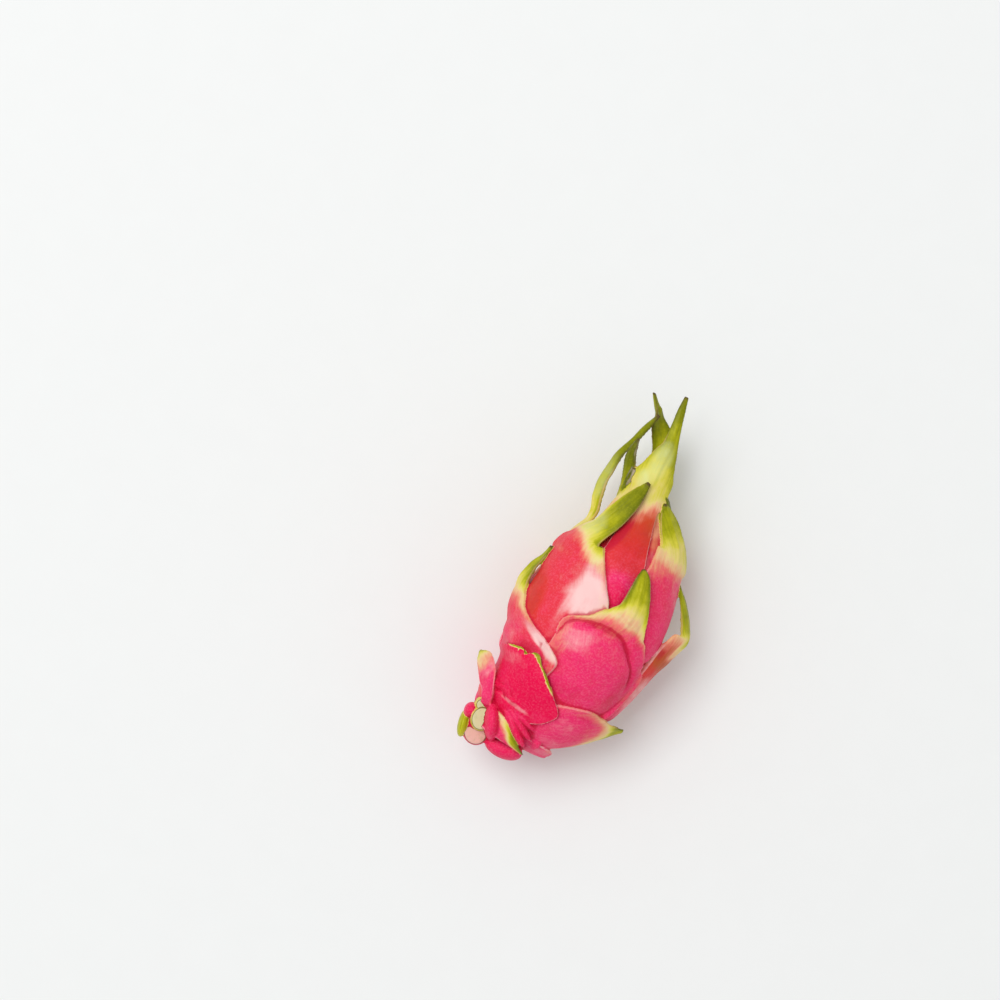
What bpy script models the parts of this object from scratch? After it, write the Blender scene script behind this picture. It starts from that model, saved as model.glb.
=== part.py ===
"""A whole dragon fruit lying on its side: one fused peel with its scales, and the dried flower.

The fruit's long axis runs along +Y, from the cut stem to the crown of pointed scales, and +Z
is up. Lengths in this file are millimetres and angles are degrees; MM and math.radians turn
them into Blender's units. A place on the peel is given the way a grower would point it out:
how far along the axis, how far round it (0 faces up, 90 faces +X), and how high off the peel.
"""
import math
from typing import NamedTuple

import bmesh
import bpy
import numpy as np
from mathutils import Matrix, Vector

MM = 0.001

# Where the row's origin lies: under the middle of the fruit's box, at the flat it rests on
ORIGIN = (4.6, 15.1, -33.6)

# The axis: how far along, its place x, y, z, and the radius of the bare fruit there
AXIS = (
    (-20.0, -37.3, -83.4, 6.0, 7.0),
    (0.0, -25.0, -68.0, 3.0, 7.5),
    (13.0, -17.0, -58.0, 1.0, 14.5),
    (29.4, -7.0, -45.0, 0.0, 26.0),
    (47.6, -0.5, -28.0, 0.0, 31.0),
    (67.7, 2.0, -8.0, 0.0, 34.0),
    (87.8, 2.5, 12.0, 0.0, 31.5),
    (107.8, 1.5, 32.0, 0.0, 24.0),
    (116.0, 0.8, 40.2, 0.0, 19.0),
    (123.9, -0.5, 48.0, 0.0, 14.5),
    (138.1, -3.0, 62.0, 0.0, 8.5),
    (158.4, -6.0, 82.0, 1.0, 8.0),
    (180.6, -9.0, 104.0, 2.0, 6.5),
    (205.0, -12.3, 128.0, 3.0, 6.0),
)
STEM_END = 2.0
CROWN_END = 133.0
END_ROUNDING = 6.0
BODY_SIDES = 32
BODY_RINGS = 26

# A scale's slab: how deep its foot is sunk, how far its margins bend down on the fruit and how
# sharply they do there and on the blade, how thick its blade is, and the least it may be anywhere
FOOT_DEPTH = 2.0
CUP = 0.10
CUP_POWER = 2.4
FOLD_POWER = 1.5
BLADE = 2.4
BLADE_TIP = 1.5
LEAST_THICKNESS = 0.9

# A scale lies over those laid before it by this much, and its surfaces flow together this softly.
# How high it reaches is noted at this many places between two rows, and across it
LAP = 1.3
LAP_SOFTNESS = 0.5
FOOT_DIP = 6.0
LAY_FINENESS = 20
LAY_ACROSS = 61

# A scale's rows up to this wide each way lie square to its middle line, and from this much wider
# on they lie straight across the fruit
SQUARE_TO = 9.0
TURNING = 7.0

FLOWER_OFFSET = 3.0
FLOWER_PLACE = 120.0
FLOWER_SIDES = 24
FLOWER_RIDGES = 8
RIDGE_SHARE = 0.16
GAP = 0.35


class Scale(NamedTuple):
    """One scale of the peel. Its blade stands free past the row named by free.

    Each row is a place along its middle line, from foot to tip: along, round, half width,
    height of the middle off the bare fruit, and how much the far margin is tipped up. fold is
    how far the blade's margins bend down, for each millimetre of half width. lap is how much it
    lies over the others. Rows narrower than square, each way, turn to lie square to the middle
    line, and wide ones lie straight across.
    """
    name: str
    free: float
    rows: tuple
    fold: float = 0.2
    lap: float = LAP
    square: float = SQUARE_TO
    across: int = 6


class Lobe(NamedTuple):
    """A rounded lump at the stem: centre, radii, turn about Z, and the height of its flat cut."""
    name: str
    centre: tuple
    radii: tuple
    turn: float = 0.0
    cut: float = 1.0


SCALES = (
    Scale("crown_back", 1.5, (
        (128, -150, 6, -2.0, 0), (144, -172, 6, 4.0, 0), (155, -182, 4.6, 2.5, 0),
        (165, -165, 3.7, -2.0, 0), (171, -122, 3.8, -0.5, 0), (176, -97, 3.4, 3.0, 0),
        (182, -90, 1.2, 6.5, 0)), 0.3),
    Scale("crown_dark", 1.4, (
        (118, -60, 6, -3.0, 0), (128, -64, 4.5, 1.0, 0), (137, -72, 2.6, 4.0, -1),
        (143, -66, 2.8, 6.0, -1.5), (148, -60, 3.2, 7.5, -1.5), (154, -56, 2.2, 8.5, -1),
        (160, -52, 0.8, 8.0, 0)), 0.3, across=4),
    Scale("crown_dry", 1.4, (
        (124, -52, 4, -3.0, 0), (132, -62, 2.5, 1.5, 0), (137, -64, 1.8, 4.0, 0),
        (142, -55, 1.7, 5.5, 0), (146.5, -49, 1.3, 6.0, 0)), across=2),
    Scale("crown_left", 2.4, (
        (92, -95, 8, -3.0, 0), (101, -93, 10, 3.4, 0), (108, -92, 8.5, 3.6, 0), (115, -90, 5.5, 4.2, 0),
        (122, -90, 4.2, 6.6, -1), (130, -90, 3.8, 11.5, -2), (138, -90, 3.5, 13.8, -2),
        (148, -88, 3, 12.0, -1.5), (160, -85, 2.5, 6.0, -1), (173, -52, 1.0, 2.0, 0)), 0.3, across=4),
    Scale("crown_web", 2.5, (
        (104, -44, 7, -3.0, 0), (118, -50, 8, 2.5, 0), (128, -50, 6.5, 3.5, 0), (137, -42, 3.6, 3.8, 0),
        (146, -32, 1.0, 3.4, 0)), across=4),
    Scale("crown_right", 2.5, (
        (88, 34, 8, -3.0, 0), (105, 34, 12, 2.0, 0), (122, 30, 8, 2.5, 0), (134, 28, 1.2, 3.0, 0))),
    Scale("right_behind", 2.5, (
        (88, 112, 10, -3.0, 0), (105, 105, 13, 2.5, 0), (120, 88, 9, 3.5, 0), (130, 66, 6, 4.0, 0),
        (139, 38, 1.0, 4.4, 0))),
    Scale("crown_front", 5.5, (
        (76, -2, 8, -3.0, 0), (90, -2, 13, 2.0, 0), (102, -2.6, 11.5, 3.0, 0), (116, -3, 9.0, 4.5, 0),
        (128, -1.8, 8.0, 5.3, 0), (137, 1, 10.5, 5.3, 0), (144.5, 4.5, 12.2, 5.4, 0),
        (150, 7.5, 9.4, 4.7, 0), (156, 10.5, 6.8, 4.3, 0), (163, 14, 3.9, 3.8, 0),
        (172, 13, 2.7, 3.4, 0), (179, 12, 2.0, 3.0, 0), (185, 12.5, 1.1, 3.0, 0)), 0.08),
    Scale("right_side", 4.0, (
        (36, 84, 9, -3.0, 0), (47, 85, 13, 3.0, 0), (56, 84, 13.5, 3.0, 0), (66, 80, 14, 3.5, 0),
        (75, 81, 12.5, 6.3, 2), (82, 82, 10.5, 9.8, 2), (86, 83, 6.2, 11.3, 1.5), (90, 82, 4.2, 9.8, 1.5),
        (97, 79, 3.2, 7.0, 1), (105, 74, 1.0, 3.8, 0)), 0.25),
    Scale("right_upper", 5.5, (
        (56, 46, 8, -3.0, 0), (70, 40, 10, 2.5, 0), (80, 43, 14.5, 3.0, 0), (90, 45, 17, 3.2, 0),
        (100, 51, 17.5, 3.5, 0), (108, 53.5, 14.0, 4.6, 1), (116, 59, 11.3, 6.4, 2.5),
        (123, 54.5, 7.4, 6.2, 2.2), (130, 46, 4.6, 5.8, 1), (135, 37, 1.0, 5.4, 0)), 0.12),
    Scale("front_left", 5.6, (
        (44, -32, 12, -3.0, 0), (60, -35, 22, 3.0, 0), (80, -35, 25, 4.0, 0), (90, -44, 24, 4.2, 0),
        (98, -51, 21.5, 4.5, 0), (104, -54, 18, 5.0, 0), (109, -50, 12.5, 6.0, 0),
        (115, -42, 8.8, 7.4, 0), (123, -31.5, 7.0, 9.3, 0), (133, -17.5, 4.7, 10.0, 0),
        (142.5, -4, 1.0, 9.5, 0)), 0.2),
    Scale("front_middle", 5.2, (
        (33, 18, 16, -3.0, 0), (46, 20.5, 26, 3.0, 0), (56, 20.8, 27.1, 4.4, 0),
        (63, 19, 27.2, 4.8, 0), (70, 14.5, 23, 4.6, 0), (75.5, 17.3, 16.2, 4.4, 0),
        (80.5, 19.8, 11.4, 4.8, 0), (86, 20.8, 8.4, 5.5, 0), (95, 19, 5.6, 6.8, 0), (101, 17.5, 3.6, 7.2, 0),
        (105, 16, 1.0, 7.2, 0)), 0.15),
    Scale("left_side", 6.0, (
        (28, -50, 14, -3.0, 0), (42, -52, 26, 3.0, 0), (49, -54, 28, 3.4, 0), (54, -62, 25, 3.7, 0),
        (58, -72, 21, 4.0, 0), (63, -79, 16, 4.3, 0), (68, -82, 12.5, 4.8, 0), (76, -80.5, 8, 6.2, 0),
        (84, -79, 6, 6.0, 0), (91, -77, 3.6, 4.6, 0), (97, -75, 1.0, 3.6, 0)), 0.25),
    Scale("stem_small", 1.7, (
        (9, 58, 7, -3.0, 0), (16, 71, 8.2, 4.0, 0), (20.5, 85, 5.7, 6.0, 0), (22.8, 98, 1.0, 8.0, 0))),
    Scale("stem_right", 3.4, (
        (16, 40, 13, -3.0, 0), (24, 46, 18, 2.5, 0), (31.5, 57, 15.5, 3.5, 0), (36.5, 68, 9.5, 4.5, 0),
        (40, 78, 5.5, 6.5, 0), (43, 86, 3.2, 8.5, 0), (45.5, 91, 1.0, 11.0, 0)), 0.15, square=18.0),
    Scale("stem_fold", 2.6, (
        (2, -9, 3, -3.0, 0), (5.5, 3, 5.0, 2.5, 0), (7, 19, 5.4, 7.0, 0), (8.8, 35, 3.9, 9.0, 0),
        (10.8, 49, 2.4, 9.8, 0), (14, 70, 0.8, 9.6, 0)), across=4),
    Scale("stem_front", 5.4, (
        (9, -14, 8, -2.0, 0), (14.5, -15, 13, 4.4, 0), (20, -15.5, 16.5, 5.2, 0),
        (28, -16.5, 22.3, 4.6, 0), (33.5, -17.5, 24.6, 5.0, 0), (37.5, -21, 18.5, 5.6, 0),
        (40, -22.5, 13.8, 5.8, 0), (42, -23.3, 10.3, 5.8, 0), (43.4, -24.5, 6.8, 5.6, 0),
        (44.2, -27, 2.0, 5.4, 0)), 0.1, 2.0, square=0.0),
    Scale("stem_left", 1.2, (
        (5, -20, 2, -1.0, 0), (8.5, -29, 3.0, 6.0, 0), (11.5, -41, 4.0, 7.2, 1), (13.5, -52, 5.2, 8.5, 1),
        (14.5, -64, 4.8, 9.5, 1), (15, -79, 2.8, 10.5, 0), (15.5, -94, 0.6, 11.5, 0)), 0.2, across=4),
)

# The scales it lies on follow each other in threes along the underside, pressed flat: share of
# their length, share of their half width, and height
UNDER_COUNT = 9
UNDER_START = 6.0
UNDER_STEP = 13.0
UNDER_LENGTH = 56.0
UNDER_END = 140.0
UNDER_TURN = 47.0
UNDER_SHAPE = (
    (0.0, 0.45, -3.0), (0.16, 0.90, 2.0), (0.36, 1.0, 2.8), (0.56, 0.8, 2.8), (0.70, 0.42, 2.8),
    (0.84, 0.26, 3.2), (1.0, 0.05, 3.6))

LOBES = (
    Lobe("stem_core", (-23.5, -68.0, 0.0), (6.5, 8.0, 8.5)),
    Lobe("stem_stub", (-22.0, -64.8, 7.0), (5.0, 6.0, 12.5), 10.0, 0.6),
    Lobe("stem_stub_high", (-24.6, -59.2, 7.0), (3.4, 3.2, 8.0), 0.0, 0.72),
    Lobe("stem_middle", (-17.2, -63.3, 9.0), (4.0, 9.4, 13.0), 24.0),
    Lobe("stem_rib_low", (-21.0, -73.2, 3.0), (5.7, 5.0, 8.0), 0.0, 0.6),
    Lobe("stem_rib_left", (-28.1, -64.0, 6.0), (3.0, 3.6, 6.5)),
    Lobe("stem_rib_green", (-28.1, -71.2, 3.0), (2.5, 6.6, 7.0), 13.0),
    Lobe("stem_rib_high", (-27.0, -54.0, 3.0), (2.3, 5.0, 7.0), 25.0),
    Lobe("stem_flap_low", (-7.4, -60.8, 17.5), (10.4, 2.1, 6.0), -37.0),
    Lobe("stem_flap_high", (-7.2, -57.6, 18.0), (10.8, 2.0, 6.0), -30.0),
    Lobe("stem_flap_top", (-6.4, -55.2, 19.0), (9.0, 1.6, 5.5), -20.0),
    Lobe("stem_lip", (-6.6, -72.6, 4.0), (9.2, 5.0, 9.0), 4.0),
)

# The dried flower's outline: radius, and height above its base in the crown
FLOWER_OUTLINE = (
    (0.0, 0.0), (4.6, 0.0), (5.2, 6.0), (6.4, 14.0), (6.9, 21.0), (6.3, 25.0), (3.4, 23.5), (0.0, 22.0))
PIT_TOP = 30.0

REST_SIZE = 300.0
REST_DEPTH = 40.0
SHARP_ANGLE = 40.0


def cubic_through(knots, values, at, turning=True):
    """A smooth curve through the values at the knots, read at some places.

    Where turning is off, it never swings past a value, so a width or a height can't dip.
    """
    knots = np.asarray(knots, float)
    values = np.asarray(values, float)
    slopes = np.gradient(values, knots, axis=0)
    if not turning:
        steps = np.diff(values, axis=0) / np.diff(knots)[:, None]
        before, after = steps[:-1], steps[1:]
        alike = before * after > 0
        total = np.where(alike, before + after, 1.0)
        slopes[1:-1] = np.where(alike, 2 * before * after / total, 0.0)
    at = np.clip(np.asarray(at, float), knots[0], knots[-1])
    left = np.clip(np.searchsorted(knots, at) - 1, 0, len(knots) - 2)
    width = (knots[left + 1] - knots[left])[..., None]
    t = ((at - knots[left]) / width[..., 0])[..., None]
    start, end = values[left], values[left + 1]
    lead, follow = slopes[left] * width, slopes[left + 1] * width
    return ((2 * t**3 - 3 * t**2 + 1) * start + (t**3 - 2 * t**2 + t) * lead
            + (3 * t**2 - 2 * t**3) * end + (t**3 - t**2) * follow)


def ease(start, end, x):
    """0 before start, 1 after end, and a smooth rise between."""
    t = np.clip((x - start) / (end - start), 0.0, 1.0)
    return t * t * (3 - 2 * t)


def axis_at(along):
    """The axis there: its centre, the directions to the side and up, and the bare radius."""
    knots = [row[0] for row in AXIS]
    values = [row[1:] for row in AXIS]
    here = cubic_through(knots, values, along)
    ahead = cubic_through(knots, values, along + 0.5) - cubic_through(knots, values, along - 0.5)
    forward = ahead[..., :3] / np.linalg.norm(ahead[..., :3], axis=-1, keepdims=True)
    side = np.cross(forward, (0.0, 0.0, 1.0))
    side /= np.linalg.norm(side, axis=-1, keepdims=True)
    return here[..., :3], side, np.cross(side, forward), here[..., 3]


def on_fruit(along, angle, height):
    """Points in millimetres at a height off the bare fruit."""
    centre, side, up, radius = axis_at(along)
    reach = (radius + height)[..., None]
    return centre + reach * (np.cos(angle)[..., None] * up + np.sin(angle)[..., None] * side)


class Layers:
    """How high what has been laid on the bare fruit reaches, by place along it and round it."""

    START, STEP, ROUND = -10.0, 0.5, 360

    def __init__(self):
        self.heights = np.zeros((340, self.ROUND))

    def places(self, along, angle):
        row = np.clip((along - self.START) / self.STEP, 0, len(self.heights) - 1.001)
        column = np.degrees(angle) % 360 * (self.ROUND / 360)
        return row, column

    def read(self, along, angle):
        row, column = self.places(along, angle)
        r, c = row.astype(int), column.astype(int) % self.ROUND
        t, u = row - r, column - column.astype(int)
        after = (c + 1) % self.ROUND
        near = self.heights[r, c] * (1 - u) + self.heights[r, after] * u
        far = self.heights[r + 1, c] * (1 - u) + self.heights[r + 1, after] * u
        return near * (1 - t) + far * t

    def lay(self, along, angle, height):
        row, column = self.places(along, angle)
        laid = np.zeros_like(self.heights)
        np.maximum.at(laid, (row.round().astype(int), column.round().astype(int) % self.ROUND), height)
        for axis in (0, 0, 1, 1):
            laid = np.maximum(laid, np.maximum(np.roll(laid, 1, axis), np.roll(laid, -1, axis)))
        for axis in (0, 0, 1, 1):
            laid = (laid * 2 + np.roll(laid, 1, axis) + np.roll(laid, -1, axis)) / 4
        self.heights = np.maximum(self.heights, laid)


def scale_surface(scale, share, across, layers):
    """Places of a scale: share of its length, and -1 to 1 across it.

    Each is given as along, angle, and the heights of its outside and inside.
    """
    last = len(scale.rows) - 1
    knots = range(last + 1)
    position = share * last
    along, around, half, height, tilt = np.moveaxis(
        cubic_through(knots, scale.rows, position, False), -1, 0)
    step = (cubic_through(knots, scale.rows, position + 0.02, False)
            - cubic_through(knots, scale.rows, position - 0.02, False))
    radius = np.maximum(axis_at(along)[3] + height, 4.0)
    run_along = step[..., 0]
    turned = ease(scale.square + TURNING, scale.square, half)
    run_around = radius * np.radians(step[..., 1]) * turned
    run = np.maximum(np.hypot(run_along, run_around), 1e-9)
    sideways = across * half
    along = along - sideways * run_around / run
    angle = np.radians(around) + sideways * run_along / run / radius
    free = ease(scale.free - 0.5, scale.free + 0.8, position)
    cup, fold = CUP * np.abs(across) ** CUP_POWER, scale.fold * np.abs(across) ** FOLD_POWER
    bend = cup * (1 - free) + fold * free
    outside = height - half * bend + tilt * across
    over = layers.read(along, angle) + scale.lap - FOOT_DIP * (1 - ease(0.3, 1.0, position))
    outside = (outside + over + np.sqrt((outside - over) ** 2 + LAP_SOFTNESS**2)) / 2
    blade = BLADE + (BLADE_TIP - BLADE) * ease(scale.free, last, position)
    blade = blade * (1 - 0.45 * across**2)
    inside = -FOOT_DEPTH + (outside - blade + FOOT_DEPTH) * free
    return along, angle, outside, np.minimum(inside, outside - LEAST_THICKNESS)


def lay_scale(scale, layers):
    """Add the part of a scale that lies on the fruit to the layers, for the next to lie over."""
    last = len(scale.rows) - 1
    position = np.arange(0.5, scale.free - 0.5, 1 / LAY_FINENESS)
    across = np.linspace(-1.0, 1.0, LAY_ACROSS)
    position, across = (part.ravel() for part in np.meshgrid(position, across))
    along, angle, outside, _ = scale_surface(scale, position / last, across, layers)
    layers.lay(along, angle, outside)


def under_scales():
    """The scales of the underside, placed by their rule, those nearest the crown first."""
    for index in reversed(range(UNDER_COUNT)):
        start = UNDER_START + UNDER_STEP * index
        length = min(UNDER_LENGTH, UNDER_END - start)
        around = 180 + UNDER_TURN * ((2 * index) % 3 - 1)
        half = 0.66 * float(axis_at(np.array(start + 20.0))[3])
        rows = tuple((start + share * length, around, width * half, height, 0)
                     for share, width, height in UNDER_SHAPE)
        yield Scale(f"under_{index}", 5.5, rows, across=4)


def get_points(obj):
    """The object's vertices as an array."""
    flat = np.empty(len(obj.data.vertices) * 3)
    obj.data.vertices.foreach_get("co", flat)
    return flat.reshape(-1, 3)


def set_points(obj, points):
    """Move the object's vertices to points given in millimetres, about the row's origin."""
    obj.data.vertices.foreach_set("co", ((points - np.array(ORIGIN)) * MM).astype(np.float32).ravel())
    obj.data.update()


def apply_modifiers(obj):
    """Keep the evaluated shape as the object's own mesh."""
    depsgraph = bpy.context.evaluated_depsgraph_get()
    mesh = bpy.data.meshes.new_from_object(obj.evaluated_get(depsgraph))
    obj.modifiers.clear()
    obj.data = mesh


def close_and_turn_out(obj):
    """Merge what lies together and point the faces outwards."""
    bm = bmesh.new()
    bm.from_mesh(obj.data)
    bmesh.ops.remove_doubles(bm, verts=bm.verts, dist=0.01 * MM)
    bmesh.ops.recalc_face_normals(bm, faces=bm.faces)
    bm.to_mesh(obj.data)
    bm.free()


def move_to(obj, collection):
    """Keep the object in this collection alone."""
    for other in list(obj.users_collection):
        other.objects.unlink(obj)
    collection.objects.link(obj)


def make_body(collection):
    """The bare fruit: a ball whose rings are moved along the axis."""
    bpy.ops.mesh.primitive_uv_sphere_add(segments=BODY_SIDES, ring_count=BODY_RINGS, radius=1.0)
    obj = bpy.context.object
    obj.name = "bare_fruit"
    unit = get_points(obj)
    angle = np.arctan2(unit[:, 1], unit[:, 0])
    share = np.arcsin(np.clip(unit[:, 2], -1.0, 1.0)) / math.pi + 0.5
    share = share - 0.35 * np.sin(2 * math.pi * share) / (2 * math.pi)
    along = STEM_END + (CROWN_END - STEM_END) * share
    centre, side, up, radius = axis_at(along)
    closing = np.clip(np.minimum(along - STEM_END, CROWN_END - along) / END_ROUNDING, 0.0, 1.0)
    radius = (radius * np.sqrt(1 - (1 - closing) ** 2))[:, None]
    set_points(obj, centre + radius * (np.cos(angle)[:, None] * up + np.sin(angle)[:, None] * side))
    close_and_turn_out(obj)
    move_to(obj, collection)
    return obj


def make_scale(scale, layers, collection):
    """A flat grid given a thickness, then laid on the fruit by the scale's rows."""
    bpy.ops.mesh.primitive_grid_add(x_subdivisions=2 * len(scale.rows) - 2, y_subdivisions=scale.across,
                                    size=2.0)
    obj = bpy.context.object
    obj.name = scale.name
    slab = obj.modifiers.new("slab", "SOLIDIFY")
    slab.thickness = 1.0
    slab.offset = -1.0
    apply_modifiers(obj)
    unit = get_points(obj)
    along, angle, outside, inside = scale_surface(scale, (unit[:, 0] + 1) / 2, unit[:, 1], layers)
    set_points(obj, on_fruit(along, angle, outside + (outside - inside) * unit[:, 2]))
    close_and_turn_out(obj)
    move_to(obj, collection)
    lay_scale(scale, layers)


def make_lobe(lobe, collection):
    """A small ball, drawn out and turned, some with the top cut off flat."""
    bpy.ops.mesh.primitive_uv_sphere_add(segments=12, ring_count=8, radius=1.0)
    obj = bpy.context.object
    obj.name = lobe.name
    unit = get_points(obj)
    unit[:, 2] = np.minimum(unit[:, 2], lobe.cut)
    turn = np.array(Matrix.Rotation(math.radians(lobe.turn), 3, "Z"))
    set_points(obj, (unit * lobe.radii) @ turn.T + lobe.centre)
    move_to(obj, collection)


def make_turned(name, outline, collection):
    """A profile turned about the crown's own axis, standing in the crown."""
    mesh = bpy.data.meshes.new(name)
    mesh.from_pydata([(radius * MM, 0.0, height * MM) for radius, height in outline],
                     [(index, index + 1) for index in range(len(outline) - 1)], [])
    obj = bpy.data.objects.new(name, mesh)
    collection.objects.link(obj)
    screw = obj.modifiers.new("turned", "SCREW")
    screw.steps = FLOWER_SIDES
    screw.render_steps = FLOWER_SIDES
    screw.use_merge_vertices = True
    screw.merge_threshold = 0.01 * MM
    apply_modifiers(obj)
    close_and_turn_out(obj)
    centre, side, up, _ = axis_at(np.array(FLOWER_PLACE))
    place = Matrix((side, -up, np.cross(up, side))).transposed().to_4x4()
    place.translation = Vector((centre - FLOWER_OFFSET * side - np.array(ORIGIN)) * MM)
    obj.matrix_world = place
    return obj


def make_flower(collection):
    """The dried flower: a turned stub, drawn in between its ridges."""
    obj = make_turned("dried_flower", FLOWER_OUTLINE, collection)
    points = get_points(obj)
    angle = np.arctan2(points[:, 1], points[:, 0])
    points[:, :2] *= (1 - RIDGE_SHARE * (0.5 - 0.5 * np.cos(FLOWER_RIDGES * angle)))[:, None]
    obj.data.vertices.foreach_set("co", points.astype(np.float32).ravel())
    obj.data.update()
    return obj


def make_pit(collection):
    """The hole that the dried flower stands in, a little wider than it and open above."""
    foot = tuple((radius + GAP * (radius > 0), height - GAP) for radius, height in FLOWER_OUTLINE[:2])
    wall = tuple((radius + GAP, height) for radius, height in FLOWER_OUTLINE[2:5])
    widest = FLOWER_OUTLINE[4][0] + GAP
    return make_turned("flower_pit", foot + wall + ((widest, PIT_TOP), (0.0, PIT_TOP)), collection)


def make_rest(collection):
    """A block whose top is the surface that the fruit lies on."""
    bpy.ops.mesh.primitive_cube_add(size=1.0)
    obj = bpy.context.object
    obj.name = "rest"
    obj.scale = (REST_SIZE * MM, REST_SIZE * MM, REST_DEPTH * MM)
    obj.location = (0.0, 0.0, -REST_DEPTH * MM / 2)
    move_to(obj, collection)
    return obj


def boolean(obj, operation, **settings):
    """Cut or join once, and keep the result."""
    modifier = obj.modifiers.new(operation.lower(), "BOOLEAN")
    modifier.operation = operation
    modifier.solver = "MANIFOLD"
    for setting, value in settings.items():
        setattr(modifier, setting, value)
    bpy.context.view_layer.update()
    apply_modifiers(obj)


def make_material(name, colour, roughness):
    """A plain finish."""
    material = bpy.data.materials.new(name)
    material.use_nodes = True
    shader = material.node_tree.nodes["Principled BSDF"]
    shader.inputs["Base Color"].default_value = (*colour, 1.0)
    shader.inputs["Roughness"].default_value = roughness
    shader.inputs["Metallic"].default_value = 0.0
    return material


def new_collection(name):
    """A collection of the scene."""
    collection = bpy.data.collections.new(name)
    bpy.context.scene.collection.children.link(collection)
    return collection


def make_fruit(parts, pieces, cutters):
    """Fuse the bare fruit, its scales and the cut stem, then cut the pit and the flat."""
    layers = Layers()
    for scale in tuple(under_scales()) + SCALES:
        make_scale(scale, layers, pieces)
    for lobe in LOBES:
        make_lobe(lobe, pieces)
    fruit = make_body(parts)
    fruit.name = "fruit"
    boolean(fruit, "UNION", operand_type="COLLECTION", collection=pieces)
    for piece in list(pieces.objects):
        bpy.data.objects.remove(piece)
    bpy.data.collections.remove(pieces)
    for cutter in (make_pit(cutters), make_rest(cutters)):
        cutter.hide_render = True
        cutter.display_type = "WIRE"
        boolean(fruit, "DIFFERENCE", object=cutter)
    return fruit


def main():
    for obj in list(bpy.data.objects):
        bpy.data.objects.remove(obj)
    parts = new_collection("dragon_fruit")
    fruit = make_fruit(parts, new_collection("pieces_to_fuse"), new_collection("cutters"))
    fruit.data.materials.clear()
    fruit.data.materials.append(make_material("pink_peel", (0.80, 0.06, 0.16), 0.42))
    flower = make_flower(parts)
    flower.data.materials.clear()
    flower.data.materials.append(make_material("dried_petal", (0.36, 0.22, 0.12), 0.8))
    for obj in (fruit, flower):
        obj.data.shade_smooth()
        obj.data.set_sharp_from_angle(angle=math.radians(SHARP_ANGLE))


main()
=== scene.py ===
"""The looks of a whole dragon fruit lying on its side: fine scaled peel and dried flower.

The peel grows the same way as its solid: a rounded fruit, and scales laid on it by a few rows
each. Here the scales are fine sheets with folds, ribs and creases. They are fused, painted by
where each point lies on its own scale, and finished as a waxy peel. Lengths are millimetres
until a mesh is placed, and angles are degrees.
"""
import math
from typing import NamedTuple

import bpy
import numpy as np
from mathutils import Matrix, Vector
from mathutils.bvhtree import BVHTree


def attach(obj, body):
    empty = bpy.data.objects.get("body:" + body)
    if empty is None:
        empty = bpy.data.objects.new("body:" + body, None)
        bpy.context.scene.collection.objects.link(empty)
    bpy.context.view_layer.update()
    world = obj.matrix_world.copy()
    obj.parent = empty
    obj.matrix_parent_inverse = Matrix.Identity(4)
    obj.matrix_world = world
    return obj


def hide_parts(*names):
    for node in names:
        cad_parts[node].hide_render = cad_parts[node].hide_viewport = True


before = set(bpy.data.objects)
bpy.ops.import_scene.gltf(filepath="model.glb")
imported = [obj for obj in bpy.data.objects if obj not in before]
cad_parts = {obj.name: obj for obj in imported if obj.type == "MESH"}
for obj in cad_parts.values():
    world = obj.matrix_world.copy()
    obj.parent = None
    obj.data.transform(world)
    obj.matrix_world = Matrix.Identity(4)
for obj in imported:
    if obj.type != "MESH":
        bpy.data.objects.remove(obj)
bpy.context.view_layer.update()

MM = 0.001
ORIGIN = np.array((4.6, 15.1, -33.6))

# The axis: how far along, its place x, y, z, and the radius of the bare fruit there
AXIS = (
    (-20.0, -37.3, -83.4, 6.0, 7.0),
    (0.0, -25.0, -68.0, 3.0, 7.5),
    (13.0, -17.0, -58.0, 1.0, 14.5),
    (29.4, -7.0, -45.0, 0.0, 26.0),
    (47.6, -0.5, -28.0, 0.0, 31.0),
    (67.7, 2.0, -8.0, 0.0, 34.0),
    (87.8, 2.5, 12.0, 0.0, 31.5),
    (107.8, 1.5, 32.0, 0.0, 24.0),
    (116.0, 0.8, 40.2, 0.0, 19.0),
    (123.9, -0.5, 48.0, 0.0, 14.5),
    (138.1, -3.0, 62.0, 0.0, 8.5),
    (158.4, -6.0, 82.0, 1.0, 8.0),
    (180.6, -9.0, 104.0, 2.0, 6.5),
    (205.0, -12.3, 128.0, 3.0, 6.0),
)
STEM_END = 2.0
CROWN_END = 133.0
END_ROUNDING = 6.0
LEAST_RADIUS = 4.0

# The bare fruit's mesh, how much closer its rings are at the ends, and where it is all coral
BARE_SEGMENTS, BARE_RINGS = 128, 120
RING_CROWDING = 0.35
ALL_CORAL = 125.0

# A scale: how deep its foot is sunk, how far it dips under the others at its first rows, how
# its margins bend down on the fruit, how thick the blade is, how much thinner at its margins,
# and the least it may be anywhere
FOOT_DEPTH = 2.0
FOOT_DIP, FOOT_ROWS = 6.0, (0.3, 1.0)
CUP, CUP_POWER = 0.10, 2.4
FOLD_POWER = 1.5
BLADE, BLADE_TIP = 2.4, 1.5
MARGIN_THINNING = 0.45
LEAST_THICKNESS = 0.9

# A blade comes free from this many rows before the one named by free to this many after it
FREE_BEFORE, FREE_AFTER = 0.5, 0.8

# A scale's mesh: steps for each of its rows, and steps across it
ROW_STEPS, ACROSS_STEPS = 14, 44

# A scale lies over those laid before it by this much, its surfaces flowing together this softly
LAP = 1.3
LAP_SOFTNESS = 0.5

# A scale's rows up to this wide each way lie square to its middle line, and from this much wider
# on they lie straight across the fruit
SQUARE_TO = 9.0
TURNING = 7.0

# The small forms of a scale: how high its ribs, its fine ribs and its blade's keel are
RIB, FINE_RIB, KEEL = 0.10, 0.06, 0.25

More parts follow.
